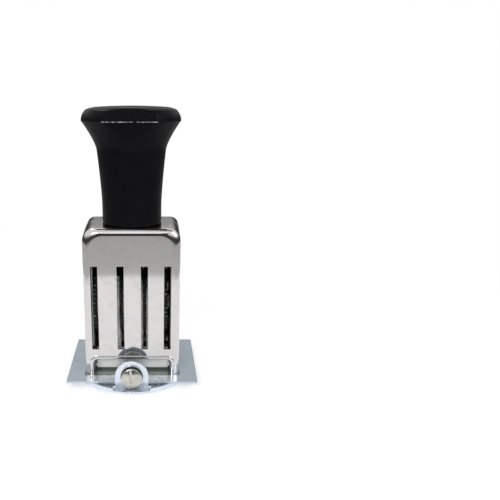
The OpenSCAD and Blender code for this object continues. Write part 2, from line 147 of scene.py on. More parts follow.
def settle(piece):
    """Turns the piece's modifiers into its own mesh."""
    depsgraph = bpy.context.evaluated_depsgraph_get()
    made = bpy.data.meshes.new_from_object(piece.evaluated_get(depsgraph))
    piece.modifiers.clear()
    piece.data = made


def prism(outline, axis, start, end):
    """A cutter with an outline across an axis, from one place along it to another."""
    turn = {"y": (0, 2, 1), "z": (0, 1, 2)}[axis]
    points = []
    for place in (start, end):
        for across, up in outline:
            loose = (across, up, place)
            points.append(tuple(loose[i] for i in turn))
    count = len(outline)
    sides = [(i, (i + 1) % count, count + (i + 1) % count, count + i) for i in range(count)]
    ends = [tuple(range(count)), tuple(range(count, 2 * count))]
    piece = mesh_piece("cutter", points, sides + ends)
    face_outwards(piece)
    return piece


def block(low, high):
    """A cutter that is a box between two corners."""
    outline = [(low[0], low[1]), (high[0], low[1]), (high[0], high[1]), (low[0], high[1])]
    return prism(outline, "z", low[2], high[2])


def join_or_cut(piece, others, operation):
    """Joins other solids to a piece, or cuts them out of it."""
    for other in others:
        change = piece.modifiers.new(operation.lower(), "BOOLEAN")
        change.operation = operation
        change.solver = "EXACT"
        change.object = other
    settle(piece)
    for other in others:
        bpy.data.objects.remove(other)


def arc(centre, radius, start, end, steps):
    """Points on an arc, with its angles in degrees."""
    angles = [math.radians(start + (end - start) * i / steps) for i in range(steps + 1)]
    return [(centre[0] + radius * math.cos(a), centre[1] + radius * math.sin(a)) for a in angles]


def circle(centre, radius, count):
    """Points all the way round a circle."""
    return arc(centre, radius, 0, 360 - 360 / count, count - 1)


def smooth(piece):
    piece.data.polygons.foreach_set("use_smooth", [True] * len(piece.data.polygons))
    piece.data.update()


def soften(piece, width, angle=35, segments=2, weld=False):
    """Rounds the piece's edges and shades its flat faces flat and its curves smooth."""
    if weld:
        piece.modifiers.new("weld", "WELD").merge_threshold = same_point
        flat = piece.modifiers.new("flat", "DECIMATE")
        flat.decimate_type = "DISSOLVE"
        flat.angle_limit = same_plane
    rounding = piece.modifiers.new("rounding", "BEVEL")
    rounding.width = width
    rounding.segments = segments
    rounding.limit_method = "ANGLE"
    rounding.angle_limit = math.radians(angle)
    rounding.miter_outer = "MITER_ARC"
    shading = piece.modifiers.new("shading", "WEIGHTED_NORMAL")
    shading.mode = "FACE_AREA"
    shading.weight = large_face_weight
    smooth(piece)


# Housing


def inset_at(distance, radius):
    """How far a rounded edge has drawn in, at a distance from the face that it runs into."""
    if distance >= radius:
        return 0
    return radius - math.sqrt(radius * radius - (radius - distance) ** 2)


def shoulder_at(y):
    """The shoulders' radius, which is largest at the front and tightens towards the back."""
    fade = math.exp((shell_front - y) / shoulder_fade)
    return shoulder_back_r + (shoulder_front_r - shoulder_back_r) * fade


def housing_ring(y, side_inset, top_inset):
    """The housing's outline in X and Z at one place along Y, from foot to foot."""
    half = half_w - side_inset
    top = shell_top - top_inset
    radius = shoulder_at(y) - min(side_inset, shoulder_draw)
    outline = [(-half, tab_foot)]
    outline += arc((radius - half, top - radius), radius, 180, 90, shoulder_steps)
    outline += arc((half - radius, top - radius), radius, 90, 0, shoulder_steps)
    outline += [(half, tab_foot)]
    return [(x, y, z) for x, z in outline]


def housing_sheet(name, end_y, top_r, open_y, steps):
    """Half of the housing: a sheet from its flat end face round its edges to an open side."""
    out = 1 if end_y > open_y else -1
    stretch = max(top_r, edge_r)
    distances = [stretch * (1 - math.cos(math.pi / 2 * i / steps)) for i in range(steps + 1)]
    depth = abs(end_y - open_y)
    for i in range(1, depth_steps + 1):
        distances.append(stretch + (depth - stretch) * i / depth_steps)
    rings = []
    for distance in distances:
        ring = housing_ring(
            end_y - out * distance, inset_at(distance, edge_r), inset_at(distance, top_r)
        )
        rings.append(ring)
    count = len(rings[0])
    faces = [tuple(range(count))]
    for k in range(len(rings) - 1):
        for i in range(count - 1):
            a, b = k * count + i, (k + 1) * count + i
            faces.append((a, b, b + 1, a + 1))
    piece = mesh_piece(name, [point for ring in rings for point in ring], faces)
    face_outwards(piece)
    if piece.data.polygons[0].normal.y * out < 0:
        piece.data.flip_normals()
    sheet = piece.modifiers.new("sheet", "SOLIDIFY")
    sheet.thickness = wall
    sheet.offset = -1
    sheet.use_even_offset = True
    settle(piece)
    return piece


def foot_cutters():
    """Blocks that trim the housing's foot, apart from the tabs that pass through the base plate."""
    ends = [shell_front - past]
    for y in tab_places:
        ends += [y - tab_l / 2, y + tab_l / 2]
    ends.append(shell_back + past)
    wide = half_w + past
    return [
        block((-wide, ends[i], tab_foot - past), (wide, ends[i + 1], shell_foot))
        for i in range(0, len(ends), 2)
    ]


def bolt_hole():
    outline = circle((0, body_y), bolt_hole_r, bolt_hole_points)
    return prism(outline, "z", shell_top - bolt_hole_l, shell_top + past)


def opening_outline(grow=0.0):
    """The opening at the front's foot, from its left foot round to its right foot."""
    half = opening_half + grow
    top = opening_top + grow
    radius = opening_r + grow
    outline = [(-half, shell_foot - past)]
    outline += arc((radius - half, top - radius), radius, 180, 90, corner_steps)
    outline += arc((half - radius, top - radius), radius, 90, 0, corner_steps)
    return outline + [(half, shell_foot - past)]


def opening_lip():
    """A rounded bead round the opening, as a solid that is joined to the front."""
    section = [(0, -0.5 * wall)]
    bead = arc((lip_w / 2, 0), lip_w / 2, 180, 0, corner_steps)
    section += [(across, out * lip_proud / (lip_w / 2)) for across, out in bead]
    section += [(lip_w, -0.5 * wall)]
    rows = []
    for across, out in section:
        rows.append([(x, shell_front - out, z) for x, z in opening_outline(across)])
    length = len(rows[0])
    count = len(rows)
    points = [point for row in rows for point in row]
    faces = []
    for k in range(count):
        following = (k + 1) % count
        for i in range(length - 1):
            a, b = k * length + i, following * length + i
            faces.append((a, a + 1, b + 1, b))
    faces.append(tuple(k * length for k in range(count)))
    faces.append(tuple(k * length + length - 1 for k in range(count)))
    lip = mesh_piece("lip", points, faces)
    face_outwards(lip)
    return lip


def front_cover():
    piece = housing_sheet("front_cover", shell_front, front_top_r, seam_y, steps=10)
    join_or_cut(piece, [opening_lip()], "UNION")
    notch = block(
        (-half_w - past, tongue_y - tongue_gap_front, tongue_low - tongue_gap_front),
        (half_w + past, seam_y + past, tongue_high + tongue_gap_top),
    )
    slots = [
        block(
            (x - slot_w / 2, shell_front - past, slot_bottom),
            (x + slot_w / 2, shell_front + wall + past, slot_top),
        )
        for x in slot_places
    ]
    opening = prism(opening_outline(), "y", shell_front - past, shell_front + wall + past)
    join_or_cut(piece, [notch, opening, bolt_hole()] + slots + foot_cutters(), "DIFFERENCE")
    soften(piece, cut_edge_r, segments=3)
    return piece


def back_cover():
    piece = housing_sheet("back_cover", shell_back, back_top_r, tongue_y, steps=16)
    wide = half_w + past
    front = tongue_y - past
    rear = seam_y + seam_gap
    trims = [
        block((-wide, front, tab_foot - past), (wide, rear, tongue_low)),
        block((-wide, front, tongue_high), (wide, rear, shell_top + past)),
    ]
    join_or_cut(piece, trims + [bolt_hole()] + foot_cutters(), "DIFFERENCE")
    soften(piece, cut_edge_r, segments=3)
    return piece


# Handle

handle_low, handle_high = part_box("handle")
neck_r = 12.35 * MM
waist_h = 30 * MM
waist_r = 14.1 * MM
rim_h = 41.5 * MM
straight_h = 7.5 * MM
neck_power = 1.4
flare_power = 1.35
body_steps = 14
crown_span = 10 * MM
crown_cut = 5 * MM
crown_steps = 8
flat_lean = math.radians(15)
flat_round = 0.15 * MM
flat_h = 10 * MM
front_sector = math.radians(24)
# The painted highlight on the rim's edge starts this far in front of the handle's axis
glint_reach = 17.1 * MM
insert_r = 5 * MM
insert_l = 20 * MM
insert_gap = 0.01 * MM
ring_points = 192
flat_points = 32
sharp_angle = math.radians(22)

# How far the foot has drawn in, in millimetres, at heights from its lowest place
FOOT = [(0.6, 0), (0.1, 0.3), (0, 0.9)]

# How far the rim has drawn in, in millimetres, at heights from its widest place
RIM = [(0.36, -0.5), (0.19, -0.3), (0.06, -0.14), (0, 0), (0.01, 0.14), (0.04, 0.3), (0.09, 0.5)]


def round_corners(points, rounds):
    """Cuts every corner of an open line, keeping its ends."""
    for _ in range(rounds):
        cut = [points[0]]
        for a, b in zip(points, points[1:]):
            cut.append((0.75 * a[0] + 0.25 * b[0], 0.75 * a[1] + 0.25 * b[1]))
            cut.append((0.25 * a[0] + 0.75 * b[0], 0.25 * a[1] + 0.75 * b[1]))
        points = cut + [points[-1]]
    return points


def handle_profile():
    """Radius and height of the handle, from its foot to the middle of its top."""
    rim_r = handle_high.x
    height = handle_high.z - handle_low.z
    foot = [(insert_r, 0)] + [(neck_r - drop * MM, rise * MM) for drop, rise in FOOT]
    body = []
    for i in range(body_steps + 1):
        t = i / body_steps
        rise = straight_h + (waist_h - straight_h) * t
        body.append((neck_r + (waist_r - neck_r) * t ** neck_power, rise))
    for i in range(1, body_steps):
        t = i / body_steps
        rise = waist_h + (rim_h - waist_h) * t
        body.append((waist_r + (rim_r - waist_r) * t ** flare_power, rise))
    rim = [(rim_r - drop * MM, rim_h + rise * MM) for drop, rise in RIM]
    crown = []
    for i in range(1, crown_steps):
        drop = crown_cut * i / crown_steps
        crown.append((rim_r * math.sqrt(1 - (drop / crown_span) ** 2), rim_h + drop))
    cut_r = rim_r * math.sqrt(1 - (crown_cut / crown_span) ** 2)
    dome_h = height - rim_h - crown_cut
    for i in range(1, crown_steps):
        t = 1 - i / crown_steps
        crown.append((cut_r * t, rim_h + crown_cut + dome_h * (1 - t * t)))
    return foot + round_corners(body, rounds=1) + rim + round_corners(crown, rounds=2)


def flat_at(height):
    """How far the front flat is from the handle's axis: it leans in both ways from the rim."""
    way = math.hypot(height - rim_h, flat_round)
    return body_y - handle_low.y - (way - flat_round) * math.tan(flat_lean)


def flattened_ring(radius, height, count, front):
    """A circle about the axis, with a share of its points on the front flat where it reaches that."""
    reach = flat_at(height)
    meets = math.acos(reach / radius) if radius > reach and height > rim_h - flat_h else 0
    sector = max(meets, front_sector)
    angles = [sector * (2 * i / front - 1) for i in range(front)]
    rest = count - front
    angles += [sector + (2 * math.pi - 2 * sector) * i / rest for i in range(rest)]
    ring = []
    for a in angles:
        x, out = radius * math.sin(a), radius * math.cos(a)
        ring.append((x, -min(out, reach) if meets else -out))
    return ring


def revolve(name, profile, centre, count, front):
    """A closed mesh from an open profile turned about a vertical axis, with its ends closed."""
    points = []
    for radius, height in profile:
        for x, y in flattened_ring(radius, height, count, front):
            points.append((centre[0] + x, centre[1] + y, centre[2] + height))
    faces = []
    for k in range(len(profile) - 1):
        for i in range(count):
            a, b = k * count + i, k * count + (i + 1) % count
            faces.append((a, b, b + count, a + count))
    last = (len(profile) - 1) * count
    faces.append(tuple(last + i for i in range(count)))
    faces.append(tuple(reversed(range(count))))
    return mesh_piece(name, points, faces)


def grip():
    """The handle, with the blind bore that holds its insert."""
    profile = [(insert_r - insert_gap, insert_l), (insert_r, insert_l)] + handle_profile()
    piece = revolve("grip", profile, (0, body_y, handle_low.z), ring_points, flat_points)
    face_outwards(piece)
    smooth(piece)
    piece.data.set_sharp_from_angle(angle=sharp_angle)
    return piece


# Type bands

axle_low, axle_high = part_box("wheel_axle")
bridge_low, bridge_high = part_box("type_bridge")
axle_at = ((axle_low.y + axle_high.y) / 2, (axle_low.z + axle_high.z) / 2)
wheel_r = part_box("wheel_year")[1].z - axle_at[1]
drum_r = 7.8 * MM
bridge_r = 0.7 * MM
band_slack = 0.1 * MM
band_t = 1.1 * MM
band_edge_r = 0.08 * MM
drum_steps = 48
plinth_h = 0.3 * MM
plinth_past = 0.3 * MM
plinth_gap = 0.5 * MM
type_h = 0.9 * MM
type_size = 4.4 * MM
type_depth = 0.25 * MM
type_gap = 1.1 * MM
type_widening = 1.15
positions = 13
corner_y = bridge_high.y - bridge_r
corner_z = bridge_low.z + bridge_r

# What the figures of each band say, from the printing row on round the band
DATES = {
    "band_year": [str(2026 + i) for i in range(12)] + [""],
    "band_month": [str((9 + i) % 12 + 1) for i in range(12)] + [""],
    "band_day_units": [str((2 + i) % 10) for i in range(10)] + ["", "", ""],
    "band_day_tens": (["2", "3", "", "1"] * 4)[:positions],
}


def leaving_angle(corner, sign):
    """The angle at which a band leaves the drum for a corner of the bridge."""
    away = (axle_at[0] - corner[0], axle_at[1] - corner[1])
    turn = math.acos((bridge_r - drum_r) / math.hypot(*away))
    return math.degrees(math.atan2(away[1], away[0]) + sign * turn)


front_leave = leaving_angle((-corner_y, corner_z), 1)
back_leave = leaving_angle((corner_y, corner_z), -1)


def band_line(away):
    """The closed line of a band at a distance from the drum and the bridge, in Y and Z."""
    line = arc((corner_y, corner_z), bridge_r + away, 270, 360 + back_leave, corner_steps)
    line += arc(axle_at, drum_r + away, back_leave, front_leave, drum_steps)
    return line + arc((-corner_y, corner_z), bridge_r + away, front_leave, 270, corner_steps)


def place_on(line, way):
    """The point at a way along a closed line, and the line's direction there."""
    while True:
        for a, b in zip(line, line[1:] + line[:1]):
            step = math.dist(a, b)
            if way <= step:
                share = way / step
                along = ((b[0] - a[0]) / step, (b[1] - a[1]) / step)
                return (a[0] + (b[0] - a[0]) * share, a[1] + (b[1] - a[1]) * share), along
            way -= step


def figures(text, width):
    """A mesh of raised figures about the origin, facing +Z, narrowed to a width.

    The curve's own sizes are shares of the letters' height, until the mesh is scaled."""
    curve = bpy.data.curves.new("figures", "FONT")
    curve.body = text
    curve.size = 1.0
    curve.align_x = "CENTER"
    curve.offset = 0.012
    curve.space_character = 1.08
    curve.extrude = 0.06
    curve.bevel_depth = 0.018
    curve.bevel_resolution = 1
    curve.resolution_u = 4
    holder = add_piece("figures", curve)
    depsgraph = bpy.context.evaluated_depsgraph_get()
    mesh = bpy.data.meshes.new_from_object(holder.evaluated_get(depsgraph))
    bpy.data.objects.remove(holder)
    low = Vector(map(min, zip(*[v.co for v in mesh.vertices])))
    high = Vector(map(max, zip(*[v.co for v in mesh.vertices])))
    size = high - low
    middle = (low + high) / 2
    tall = type_size / size.y
    wide = min(width / size.x, tall * type_widening)
    deep = (type_h - plinth_h + type_depth) / size.z
    mesh.transform(Matrix.Diagonal((wide, tall, deep, 1)) @ Matrix.Translation(-middle))
    return mesh


def type_band(name):
    """A closed band with a raised, mirrored figure at each position."""
    low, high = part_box(name)
    middle_x = (low.x + high.x) / 2
    width = high.x - low.x
    inner = band_line(band_slack)
    outer = band_line(band_slack + band_t)
    count = len(outer)
    work = bmesh.new()
    rings = []
    for line, x in ((outer, low.x), (outer, high.x), (inner, high.x), (inner, low.x)):
        rings.append([work.verts.new((x, y, z)) for y, z in line])
    for ring, following in zip(rings, rings[1:] + rings[:1]):
        for i in range(count):
            j = (i + 1) % count
            work.faces.new((ring[i], ring[j], following[j], following[i]))
    length = sum(math.dist(a, b) for a, b in zip(outer, outer[1:] + outer[:1]))
    from_front = outer[-1:] + outer[:-1]
    plinth_size = (width - plinth_gap, type_size + 2 * plinth_past, 2 * plinth_h, 1)
    for i in range(positions):
        spot, along = place_on(from_front, (corner_y + length * i / positions) % length)
        out = (along[1], -along[0])
        at = Matrix(
            (
                (-1, 0, 0, middle_x),
                (0, -along[0], out[0], spot[0]),
                (0, -along[1], out[1], spot[1]),
                (0, 0, 0, 1),
            )
        )
        plinth = bmesh.ops.create_cube(work, size=1)["verts"]
        bmesh.ops.transform(work, matrix=at @ Matrix.Diagonal(plinth_size), verts=plinth)
        text = DATES[name][i]
        if text:
            raised = figures(text, width - type_gap)
            rise = Matrix.Translation((0, 0, (type_h + plinth_h - type_depth) / 2))
            raised.transform(at @ rise)
            work.from_mesh(raised)
    bmesh.ops.recalc_face_normals(work, faces=work.faces)
    mesh = bpy.data.meshes.new(name)
    work.to_mesh(mesh)
    work.free()
    piece = add_piece(name.replace("band_", "type_band_"), mesh)
    soften(piece, band_edge_r, angle=50)
    return piece


# Materials

noise_roughness = 0.55


def maths(tree, operation, *values):
    """A sum, product or the like of node outputs and plain numbers."""
    node = tree.nodes.new("ShaderNodeMath")
    node.operation = operation
    for socket, value in zip(node.inputs, values):
        if isinstance(value, (int, float)):
            socket.default_value = value
        else:
            tree.links.new(value, socket)
    return node.outputs[0]


class Paint:
    """A procedural material, built node by node in the frame's own coordinates."""

    def __init__(self, name, colour, metallic, roughness):
        self.material = bpy.data.materials.new(name)
        self.material.use_nodes = True
        self.tree = self.material.node_tree
        self.shader = self.tree.nodes["Principled BSDF"]
        self.colour = linear(*colour) + [1]
        self.shader.inputs["Base Color"].default_value = self.colour
        self.shader.inputs["Metallic"].default_value = metallic
        self.shader.inputs["Roughness"].default_value = roughness
        self.place = self.add("ShaderNodeTexCoord").outputs["Object"]

    def add(self, kind, **settings):
        node = self.tree.nodes.new(kind)
        for key, value in settings.items():
            setattr(node, key, value)
        return node

    def link(self, source, target):
        self.tree.links.new(source, target)

    def set(self, **values):
        """Constants on the shader's own sockets, by name with _ for a space."""
        for key, value in values.items():
            self.shader.inputs[key.replace("_", " ")].default_value = value

    def stretched(self, stretch):
        """The place, with each axis stretched."""
        node = self.add("ShaderNodeMapping")
        node.inputs["Scale"].default_value = stretch
        self.link(self.place, node.inputs["Vector"])
        return node.outputs["Vector"]

    def noise(self, grain, detail, stretch=(1, 1, 1)):
        """Noise whose lumps are about a given size in metres."""
        node = self.add("ShaderNodeTexNoise")
        node.inputs["Scale"].default_value = 1 / grain
        node.inputs["Detail"].default_value = detail
        node.inputs["Roughness"].default_value = noise_roughness
        self.link(self.stretched(stretch), node.inputs["Vector"])
        return node.outputs["Fac"]

    def maths(self, operation, *values):
        return maths(self.tree, operation, *values)

    def along(self, axis):
        """The place along X, Y or Z."""
        split = self.add("ShaderNodeSeparateXYZ")
        self.link(self.place, split.inputs[0])
        return split.outputs[axis]

    def near(self, value, target, reach):
        """1 where a value meets its target, falling to 0 at a reach from it."""
        away = self.maths("ABSOLUTE", self.maths("SUBTRACT", value, target))
        share = self.maths("SUBTRACT", 1, self.maths("DIVIDE", away, reach))
        return self.maths("MAXIMUM", share, 0)

    def outside_block(self, centre, half):
        """How far a place is outside an upright block, and below 0 inside it."""
        outside = []
        for axis, at, reach in zip("XY", centre, half):
            away = self.maths("ABSOLUTE", self.maths("SUBTRACT", self.along(axis), at))
            outside.append(self.maths("SUBTRACT", away, reach))
        return self.maths("MAXIMUM", *outside)

    def from_axle(self, y, z):
        """The distance from a line along X."""
        across = self.maths("SUBTRACT", self.along("Y"), y)
        up = self.maths("SUBTRACT", self.along("Z"), z)
        total = self.maths("ADD", self.maths("POWER", across, 2), self.maths("POWER", up, 2))
        return self.maths("SQRT", total)

    def spread(self, value, low, high, from_low=0.3, from_high=0.7):
        """Stretches a range of a value to another range."""
        node = self.add("ShaderNodeMapRange")
        node.inputs["From Min"].default_value = from_low
        node.inputs["From Max"].default_value = from_high
        node.inputs["To Min"].default_value = low
        node.inputs["To Max"].default_value = high
        self.link(value, node.inputs["Value"])
        return node.outputs["Result"]

    def tint(self, value, other, low=0.3, high=0.7):
        """Varies the colour towards another one where a value is high."""
        node = self.add("ShaderNodeMix", data_type="RGBA")
        current = self.shader.inputs["Base Color"]
        if current.is_linked:
            self.link(current.links[0].from_socket, node.inputs["A"])
        else:
            node.inputs["A"].default_value = self.colour
        node.inputs["B"].default_value = linear(*other) + [1]
        self.link(self.spread(value, 0, 1, low, high), node.inputs["Factor"])
        self.link(node.outputs["Result"], current)

    def gloss(self, value, low, high):
        """Varies the roughness by a value."""
        self.link(self.spread(value, low, high), self.shader.inputs["Roughness"])

    def bump(self, value, height):
        """Adds relief of a height in metres, on top of any relief already there."""
        node = self.add("ShaderNodeBump")
        node.inputs["Strength"].default_value = 1
        node.inputs["Distance"].default_value = height
        self.link(value, node.inputs["Height"])
        current = self.shader.inputs["Normal"]
        if current.is_linked:
            self.link(current.links[0].from_socket, node.inputs["Normal"])
        self.link(node.outputs["Normal"], current)


def nickel_plate():
    paint = Paint("nickel plate", (0.815, 0.795, 0.79), 1.0, 0.08)
    paint.tint(paint.noise(14 * MM, 2), (0.80, 0.80, 0.80))
    paint.tint(paint.noise(3 * MM, 4), (0.78, 0.755, 0.75), 0.5, 0.85)
    paint.gloss(paint.noise(6 * MM, 5), 0.05, 0.11)
    paint.bump(paint.noise(9 * MM, 2), 0.02 * MM)
    paint.bump(paint.noise(0.35 * MM, 3, (1, 1, 0.12)), 0.0015 * MM)
    return paint.material


def zinc_plate():
    """Painted shade: darker and greener under the housing and in a broken line along its foot; painted
    highlights: bright patches on a strip in front of it.
    """
    paint = Paint("zinc plate", (0.76, 0.80, 0.84), 0.5, 0.18)
    paint.tint(paint.noise(1.6 * MM, 5), (0.73, 0.775, 0.82))
    paint.tint(paint.noise(6 * MM, 3), (0.78, 0.815, 0.85), 0.5, 0.8)
    # Painted shade: the plate is darker and greener inside the housing's footprint, where the housing
    # shades it
    outside = paint.outside_block((0, body_y), (half_w, (shell_back - shell_front) / 2))
    paint.tint(outside, (0.6, 0.635, 0.61), 0, -0.3 * MM)
    # Painted highlights: near-white patches, with a little relief, on the strip in front of the
    # housing
    strip = paint.outside_block((0, shell_front - strip_w / 2), (half_w - strip_gap, strip_w / 2))
    highlight_patches = paint.maths("MULTIPLY", paint.maths("LESS_THAN", strip, 0), paint.noise(1.2 * MM, 3))
    paint.tint(highlight_patches, (0.97, 0.98, 0.99), 0.3, 0.5)
    # Painted shadow: a dark, broken line on the plate just outside the housing's foot, where the
    # housing meets it
    contact_shade = paint.maths("MULTIPLY", paint.near(outside, 0.1 * MM, 0.4 * MM), paint.noise(2 * MM, 2))
    paint.tint(contact_shade, (0.1, 0.12, 0.12), 0.15, 0.4)
    paint.bump(highlight_patches, 0.06 * MM)
    paint.gloss(paint.noise(2 * MM, 5), 0.12, 0.24)
    paint.bump(paint.noise(4 * MM, 2), 0.015 * MM)
    paint.bump(paint.noise(1.3 * MM, 3), 0.012 * MM)
    return paint.material


def bright_zinc_plate():
    paint = Paint("bright zinc plate", (0.86, 0.89, 0.93), 0.7, 0.22)
    paint.tint(paint.noise(1.6 * MM, 5), (0.83, 0.865, 0.91))
    paint.tint(paint.noise(5 * MM, 3), (0.88, 0.905, 0.935), 0.5, 0.8)
    paint.gloss(paint.noise(2 * MM, 5), 0.16, 0.3)
    paint.bump(paint.noise(2.5 * MM, 3), 0.02 * MM)
    paint.bump(paint.noise(0.5 * MM, 4), 0.004 * MM)
    return paint.material


def plate_with_painted_reflection():
    # Painted reflection: a near-white, mostly diffuse colour with faint horizontal streaks stands in
    # for the bright mirror image of the polished plate, which sits in the housing's shade
    paint = Paint("polished plate", (0.975, 0.985, 0.98), 0.1, 0.16)
    paint.tint(paint.noise(3 * MM, 3, (0.3, 1, 1)), (0.86, 0.875, 0.87))
    paint.gloss(paint.noise(2 * MM, 4), 0.1, 0.24)
    paint.bump(paint.noise(2 * MM, 2, (0.2, 1, 1)), 0.02 * MM)
    return paint.material


def black_plastic():
    """Satin black, with a broken bright line painted along the rim's front edge as a highlight."""
    paint = Paint("black plastic", (0.06, 0.06, 0.07), 0.0, 0.26)
    paint.set(Specular_IOR_Level=0.1, IOR=1.28)
    paint.tint(paint.noise(8 * MM, 3), (0.075, 0.075, 0.085))
    # Painted highlight: a broken bright line along the rim's edge, at the front only
    in_front = paint.maths("LESS_THAN", paint.along("Y"), body_y - glint_reach)
    rim = paint.near(paint.along("Z"), handle_low.z + rim_h, 0.4 * MM)
    edge = paint.maths("MULTIPLY", rim, in_front)
    painted_glint = paint.maths("MULTIPLY", edge, paint.noise(2.6 * MM, 2))
    paint.tint(painted_glint, (0.85, 0.86, 0.87), 0.3, 0.5)
    paint.gloss(paint.noise(1.5 * MM, 4), 0.2, 0.34)
    paint.bump(paint.noise(3.5 * MM, 2), 0.05 * MM)
    paint.bump(paint.noise(0.5 * MM, 3), 0.008 * MM)
    return paint.material


def wheel_plastic(painted_glint=0.5):
    """Black, with grey highlights painted in broken marks on the tips of the teeth, at a given level.
    """
    paint = Paint("wheel plastic", (0.035, 0.035, 0.04), 0.0, 0.4)
    paint.set(Specular_IOR_Level=0.2)
    paint.tint(paint.noise(1.2 * MM, 4), (0.06, 0.06, 0.065), 0.5, 0.8)
    # Painted highlights: grey, broken marks on the teeth's tips, where the light catches them
    tips = paint.spread(paint.from_axle(*axle_at), 0, 1, wheel_r - 0.4 * MM, wheel_r)
    tip_glints = paint.maths("MULTIPLY", tips, paint.noise(3 * MM, 3))
    paint.tint(tip_glints, (painted_glint, painted_glint, painted_glint), 0.45, 0.7)
    paint.gloss(paint.noise(1 * MM, 4), 0.35, 0.55)
    paint.bump(paint.noise(0.3 * MM, 3), 0.006 * MM)
    return paint.material


def steel_sheet():
    paint = Paint("steel sheet", (0.58, 0.58, 0.59), 1.0, 0.35)
    paint.tint(paint.noise(4 * MM, 4), (0.50, 0.50, 0.51))
    paint.gloss(paint.noise(0.4 * MM, 3, (1, 1, 0.08)), 0.28, 0.45)
    paint.bump(paint.noise(0.25 * MM, 3, (1, 1, 0.06)), 0.003 * MM)
    return paint.material


def turned_brass():
    paint = Paint("turned brass", (0.80, 0.66, 0.38), 1.0, 0.3)
    paint.tint(paint.noise(2 * MM, 3), (0.72, 0.57, 0.32))
    paint.gloss(paint.noise(0.3 * MM, 3, (0.1, 0.1, 1)), 0.22, 0.4)
    paint.bump(paint.noise(0.2 * MM, 2, (0.05, 0.05, 1)), 0.004 * MM)
    return paint.material


def screw_nickel():
    paint = Paint("screw nickel", (0.80, 0.80, 0.775), 1.0, 0.22)
    paint.tint(paint.noise(1.2 * MM, 4), (0.72, 0.715, 0.68))
    paint.gloss(paint.noise(0.6 * MM, 4), 0.16, 0.32)
    paint.bump(paint.noise(0.8 * MM, 3), 0.01 * MM)
    return paint.material


def blackened_steel():
    paint = Paint("blackened steel", (0.09, 0.09, 0.10), 1.0, 0.45)
    paint.tint(paint.noise(0.8 * MM, 4), (0.16, 0.16, 0.17))
    paint.gloss(paint.noise(0.5 * MM, 4), 0.35, 0.55)
    paint.bump(paint.noise(0.3 * MM, 3), 0.005 * MM)
    return paint.material


def cream_plastic():
    paint = Paint("cream plastic", (0.84, 0.83, 0.76), 0.0, 0.4)
    paint.tint(paint.noise(3 * MM, 3), (0.80, 0.785, 0.71))
    paint.gloss(paint.noise(0.8 * MM, 3), 0.34, 0.5)
    paint.bump(paint.noise(0.4 * MM, 3), 0.008 * MM)
    return paint.material


def type_rubber():
    paint = Paint("type rubber", (0.96, 0.955, 0.945), 0.0, 0.45)
    paint.set(Subsurface_Weight=0.1, Subsurface_Scale=0.5 * MM)
    paint.tint(paint.noise(2.5 * MM, 4), (0.91, 0.90, 0.885))
    paint.gloss(paint.noise(0.8 * MM, 3), 0.35, 0.55)
    paint.bump(paint.noise(0.6 * MM, 3), 0.012 * MM)
    return paint.material


# The month and day-unit wheels get a copy with dimmer painted highlights on their teeth
dim_glint_paint = wheel_plastic(0.2)
NODE_PAINTS = {
    "text_plate": bright_zinc_plate(),
    "frame_front": plate_with_painted_reflection(),
    "wheel_month": dim_glint_paint,
    "wheel_day_units": dim_glint_paint,
}
PAINTS = {
    "nickel": nickel_plate(),
    "zinc": zinc_plate(),
    "black_plastic": black_plastic(),
    "wheel_plastic": wheel_plastic(),
    "steel": steel_sheet(),
    "brass": turned_brass(),
    "screw_nickel": screw_nickel(),
    "dark_steel": blackened_steel(),
    "cream_plastic": cream_plastic(),
    "type_rubber": type_rubber(),
}


# Pieces that stand for solids


def dress(piece, node, slot):
    """Lets a new piece stand for a solid that is fixed to the stamp."""
    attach(piece, "stamp")
    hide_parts(node)
    piece.data.materials.clear()
    piece.data.materials.append(PAINTS[slot])


dress(front_cover(), "front_shell", "nickel")
dress(back_cover(), "back_shell", "nickel")
dress(grip(), "handle", "black_plastic")
for band in DATES:
    dress(type_band(band), band, "type_rubber")

# The other solids keep their shape, with rounded edges and a finish

plain_edge_r = 0.1 * MM
EDGES = {
    "text_plate": 0.05 * MM,
    "base_plate": 0.12 * MM,
    "plate_screw": 0.15 * MM,
    "spacer_block": 0.15 * MM,
}
for part in frame["record"]["subparts"]:
    solid = nodes[part["node"]]
    if solid.hide_render:
        continue
    soften(solid, EDGES.get(part["node"], plain_edge_r), weld=True)
    for held in solid.material_slots:
        held.material = NODE_PAINTS.get(part["node"], PAINTS[part["material_slot"]])


# Studio

ambient = 0.5
floor_hole_r = 25 * MM
floor_r = 3.0
floor_colour = (0.92, 0.92, 0.93)
floor_glow = 0.3
table_r = 0.16
table_z = 0.5 * MM
surround_r = 0.9
surround_h = 0.5
round_points = 96

# At distances in metres from the stamp: the floor's share of plain white, and the grey levels that the
# bright metal mirrors of the table and of the wall round it
FLOOR_WHITE = [(0.08, 0.0), (0.3, 1.0)]
TABLE_LEVELS = [(0.16, 0.62), (0.25, 0.56), (0.6, 0.12)]
WALL_LEVELS = [(0.9, 0.06), (0.915, 0.06), (0.96, 0.6), (0.995, 1.0)]

# Cards that the bright metal mirrors: a dark one in front with a light box above it, one overhead on
# the right and a grey one behind. Each has its level, its ends in X, and two ends in Y and Z.
CARDS = {
    "front_card": (0.05, (-0.45, 0.45), (-0.85, 0.0), (-0.85, 0.62)),
    "light_box": (1.6, (-0.3, 0.3), (-0.85, 0.62), (-0.75, 0.9)),
    "high_card": (0.2, (0.03, 0.7), (-0.35, 0.9), (0.2, 0.9)),
    "rear_card": (0.5, (-0.7, 0.7), (0.85, 0.28), (0.85, 0.75)),
}


def bare_tree(holder):
    """The emptied node tree of a material or a world."""
    holder.use_nodes = True
    holder.node_tree.nodes.clear()
    return holder.node_tree


def to_surface(tree, shader, kind="ShaderNodeOutputMaterial"):
    output = tree.nodes.new(kind)
    tree.links.new(shader, output.inputs["Surface"])


